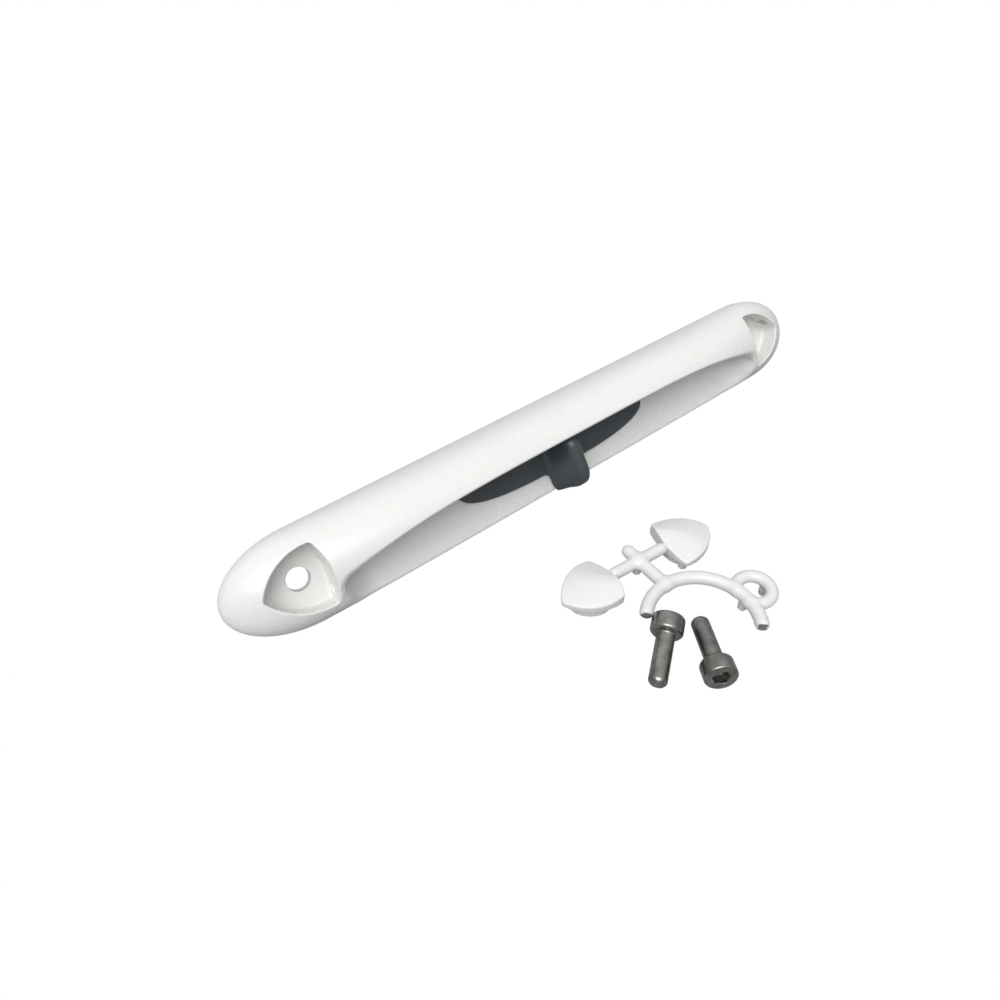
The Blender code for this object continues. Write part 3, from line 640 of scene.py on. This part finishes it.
def noise(tree, scale, detail, stretch=(1, 1, 1)):
    """Noise in the piece's own space; scale is in lumps a metre."""
    place = tree.nodes.new("ShaderNodeTexCoord")
    mapping = tree.nodes.new("ShaderNodeMapping")
    mapping.inputs["Scale"].default_value = stretch
    texture = tree.nodes.new("ShaderNodeTexNoise")
    texture.inputs["Scale"].default_value = scale
    texture.inputs["Detail"].default_value = detail
    tree.links.new(place.outputs["Object"], mapping.inputs["Vector"])
    tree.links.new(mapping.outputs["Vector"], texture.inputs["Vector"])
    return texture.outputs["Fac"]


def ramp(tree, factor, low, high, start=0.3, end=0.7):
    made = tree.nodes.new("ShaderNodeMapRange")
    made.inputs["From Min"].default_value = start
    made.inputs["From Max"].default_value = end
    made.inputs["To Min"].default_value = low
    made.inputs["To Max"].default_value = high
    tree.links.new(factor, made.inputs["Value"])
    return made.outputs["Result"]


def mixed_colour(tree, factor, first, second):
    mix = tree.nodes.new("ShaderNodeMix")
    mix.data_type = "RGBA"
    mix.inputs["A"].default_value = (*first, 1)
    mix.inputs["B"].default_value = (*second, 1)
    tree.links.new(factor, mix.inputs["Factor"])
    return mix.outputs["Result"]


def bump(tree, shader, height, distance):
    made = tree.nodes.new("ShaderNodeBump")
    made.inputs["Distance"].default_value = distance
    made.inputs["Strength"].default_value = 1.0
    tree.links.new(height, made.inputs["Height"])
    tree.links.new(made.outputs["Normal"], shader.inputs["Normal"])


def moulded(name, first, second, roughness, grain, depth):
    """Moulded plastic: faint drifts of colour and gloss, and a fine surface grain."""
    made, tree, shader = new_material(name, first, roughness[0])
    drift = ramp(tree, noise(tree, 45, 3.0, (0.5, 1, 1)), 0, 1)
    tree.links.new(mixed_colour(tree, drift, first, second), shader.inputs["Base Color"])
    tree.links.new(ramp(tree, noise(tree, 260, 4.0), *roughness), shader.inputs["Roughness"])
    shader.inputs["Specular IOR Level"].default_value = 0.5
    bump(tree, shader, noise(tree, grain, 3.0), depth)
    return made


def turned_steel(name, colour, dark, roughness, marks, depth):
    """Turned or plated steel: uneven gloss, darker stains and fine tool marks."""
    made, tree, shader = new_material(name, colour, roughness[0], 1.0)
    stain = ramp(tree, noise(tree, 420, 5.0), 0, 1, 0.35, 0.75)
    tree.links.new(mixed_colour(tree, stain, colour, dark), shader.inputs["Base Color"])
    tree.links.new(ramp(tree, noise(tree, 900, 4.0), *roughness), shader.inputs["Roughness"])
    bump(tree, shader, noise(tree, marks, 4.0), depth)
    return made


def make_materials():
    """Each finish by its short name: two colours, a range of roughness, grain a metre and depth in metres."""
    return {
        "white": moulded("gloss_white_moulding", (0.735, 0.735, 0.72), (0.75, 0.75, 0.735),
                         (0.25, 0.29), 500, 0.0000012),
        "kit_white": moulded("kit_white_moulding", (0.70, 0.70, 0.69), (0.72, 0.72, 0.71),
                             (0.26, 0.31), 600, 0.0000015),
        "slider": moulded("satin_slate_moulding", (0.047, 0.055, 0.062), (0.055, 0.064, 0.072),
                          (0.28, 0.32), 900, 0.000002),
        # broken ends of the sprue: rough as a break is, and coloured dark as painted shade at the rod tips
        "broken": moulded("broken_gate_painted_shade", (0.07, 0.065, 0.06), (0.30, 0.29, 0.28),
                          (0.6, 0.8), 1500, 0.0002),
        "acetal": moulded("natural_acetal", (0.62, 0.62, 0.59), (0.68, 0.67, 0.64),
                          (0.4, 0.5), 2500, 0.00003),
        "rubber": moulded("bumper_rubber", (0.022, 0.022, 0.022), (0.035, 0.034, 0.033),
                          (0.7, 0.85), 3000, 0.00005),
        "zinc": turned_steel("zinc_plated_steel", (0.62, 0.62, 0.63), (0.45, 0.45, 0.47),
                             (0.28, 0.42), 3500, 0.00001),
        "steel": turned_steel("turned_stainless_steel", (0.36, 0.35, 0.335), (0.19, 0.183, 0.175),
                              (0.22, 0.34), 3200, 0.000004),
    }


# ---------------------------------------------------------------- camera, light and floor
CAMERA_LENS = 24.658                     # millimetres, with a sensor CAMERA_SENSOR wide
CAMERA_SENSOR = 36.0
CAMERA_AT = (-108.97, -130.18, 141.90)
CAMERA_TURN_DEG = (45.229, 2.697, -36.658)
KEY_ENERGY = 2.1
KEY_SPREAD_DEG = 50
TOWARDS_KEY = (-0.45, -0.35, 0.82)
SKY_STRENGTH = (0.22, 0.86)              # near the horizon, and overhead
FLOOR_ALBEDO = 0.32
FLOOR_HALF = 3.0                         # metres


def make_camera():
    camera = bpy.data.cameras.new("camera")
    camera.lens = CAMERA_LENS
    camera.sensor_width = CAMERA_SENSOR
    camera.clip_start = 0.005
    obj = bpy.data.objects.new("camera", camera)
    bpy.context.collection.objects.link(obj)
    obj.location = Vector(CAMERA_AT) * MM
    obj.rotation_euler = [math.radians(angle) for angle in CAMERA_TURN_DEG]
    bpy.context.scene.camera = obj


def make_light():
    lamp = bpy.data.lights.new("soft_key", "SUN")
    lamp.energy = KEY_ENERGY
    lamp.angle = math.radians(KEY_SPREAD_DEG)
    obj = bpy.data.objects.new("soft_key", lamp)
    bpy.context.collection.objects.link(obj)
    obj.rotation_euler = (-Vector(TOWARDS_KEY)).to_track_quat("-Z", "Y").to_euler()
    world = bpy.data.worlds.new("studio")
    bpy.context.scene.world = world
    world.use_nodes = True
    tree = world.node_tree
    place = tree.nodes.new("ShaderNodeTexCoord")
    split = tree.nodes.new("ShaderNodeSeparateXYZ")
    tree.links.new(place.outputs["Generated"], split.inputs["Vector"])
    tree.links.new(ramp(tree, split.outputs["Z"], *SKY_STRENGTH, 0.1, 0.9),
                   tree.nodes["Background"].inputs["Strength"])
    tree.nodes["Background"].inputs["Color"].default_value = (1, 1, 1, 1)
    bpy.context.scene.view_settings.view_transform = "Standard"


def floor_material():
    """A lightbox top: even white to the camera, and a dimmer diffuse surface to the object's light."""
    made = bpy.data.materials.new("lightbox_floor")
    made.use_nodes = True
    tree = made.node_tree
    tree.nodes.remove(tree.nodes["Principled BSDF"])
    glow = tree.nodes.new("ShaderNodeEmission")
    glow.inputs["Color"].default_value = (1, 1, 1, 1)
    dull = tree.nodes.new("ShaderNodeBsdfDiffuse")
    dull.inputs["Color"].default_value = (FLOOR_ALBEDO, FLOOR_ALBEDO, FLOOR_ALBEDO, 1)
    path = tree.nodes.new("ShaderNodeLightPath")
    mix = tree.nodes.new("ShaderNodeMixShader")
    tree.links.new(path.outputs["Is Camera Ray"], mix.inputs["Fac"])
    tree.links.new(dull.outputs["BSDF"], mix.inputs[1])
    tree.links.new(glow.outputs["Emission"], mix.inputs[2])
    tree.links.new(mix.outputs["Shader"], tree.nodes["Material Output"].inputs["Surface"])
    return made


def make_floor():
    half = FLOOR_HALF
    corners = [(-half, -half, 0), (half, -half, 0), (half, half, 0), (-half, half, 0)]
    mesh = bpy.data.meshes.new("floor")
    mesh.from_pydata(corners, [], [(0, 1, 2, 3)])
    floor = bpy.data.objects.new("floor", mesh)
    bpy.context.collection.objects.link(floor)
    floor.location.z = TABLE_Z * MM
    mesh.materials.append(floor_material())


def finish_cad_nodes(materials):
    """The mechanism and the drive pin keep their solids, with softened edges and their own finishes."""
    finishes = {"zinc": ("plate_screw_", "carriage_screw_", "drag_spring", "drive_pin", "pin_"),
                "acetal": ("back_plate", "guide_rail_", "slide_carriage"), "rubber": ("end_bumper_",)}
    for name, node in frame["nodes"].items():
        for finish, starts in finishes.items():
            if name.startswith(starts):
                node.data.materials.clear()
                node.data.materials.append(materials[finish])
                edge = node.modifiers.new("edge", "BEVEL")
                edge.width = 0.12 * MM
                edge.segments = 2
                edge.limit_method = "ANGLE"
                edge.angle_limit = math.radians(40)


def main():
    make_camera()
    make_light()
    make_floor()
    materials = make_materials()
    make_housing(materials["white"])
    make_slider(materials["slider"])
    make_cap("cover_left", "cover_cap_left", 180, -1, materials["kit_white"])
    make_cap("cover_right", "cover_cap_right", 0, 1, materials["kit_white"])
    make_sprue(materials["kit_white"], materials["broken"])
    make_screw("cap_screw_left", "mounting_screw_left", "screw_left", materials["steel"])
    make_screw("cap_screw_right", "mounting_screw_right", "screw_right", materials["steel"])
    finish_cad_nodes(materials)


main()
